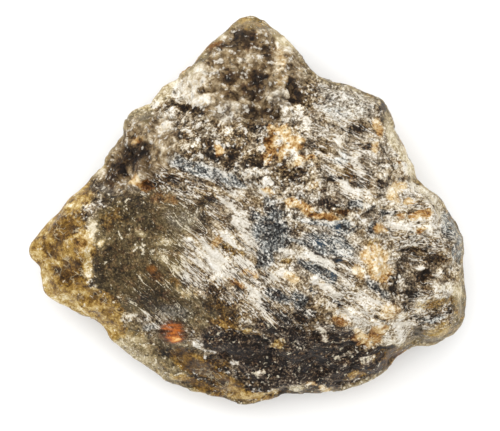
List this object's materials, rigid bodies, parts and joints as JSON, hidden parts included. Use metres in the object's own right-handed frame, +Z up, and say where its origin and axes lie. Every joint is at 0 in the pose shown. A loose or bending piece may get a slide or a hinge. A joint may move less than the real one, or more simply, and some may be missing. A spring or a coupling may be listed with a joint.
{
  "type": "raw labradorite",
  "caption": "Rough unpolished stone with a broad streaked face, a pointed end and a honey-coloured edge, lying on a flat cleavage face.",
  "frame": {"origin": "centre of the stone's outline seen from above, on the surface it rests on", "axes": "+X along the stone's length, towards its blunt end; +Y towards its pointed end; +Z up, out of its broad streaked face"},
  "size_m": [0.0614, 0.0548, 0.0264],
  "materials": {
    "labradorite": "broken, partly weathered feldspar: dark olive-grey cleavage faces, white bruised streaks, ochre stains and honey-coloured edges"
  },
  "bodies": {
    "root": {"labradorite": "labradorite"}
  },
  "joints": []
}
